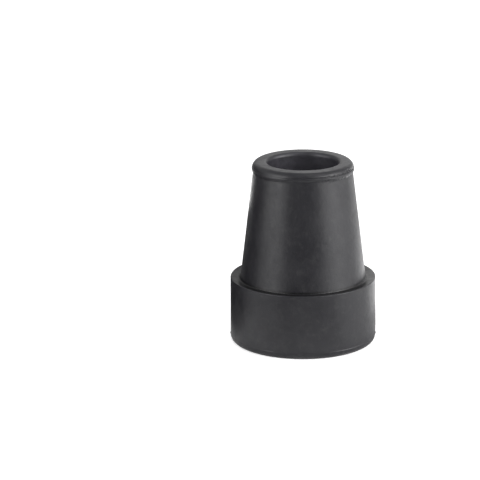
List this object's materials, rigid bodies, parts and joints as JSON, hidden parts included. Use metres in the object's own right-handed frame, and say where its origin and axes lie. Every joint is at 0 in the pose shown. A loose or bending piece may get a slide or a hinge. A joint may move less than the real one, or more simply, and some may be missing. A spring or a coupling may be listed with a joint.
{
  "type": "rubber cane tip",
  "caption": "Moulded rubber push-on tip for a walking cane: tapered neck with a rolled lip and blind socket on a broad round foot with a ringed tread.",
  "frame": {"origin": "centre of the tread face, on the surface that the tip stands on", "axes": "+Z along the axis of revolution, from the tread up to the mouth of the socket"},
  "size_m": [0.0396, 0.0396, 0.0498],
  "materials": {
    "rubber": "semi-matt moulded black rubber"
  },
  "bodies": {
    "root": {"ferrule": "rubber"}
  },
  "joints": []
}
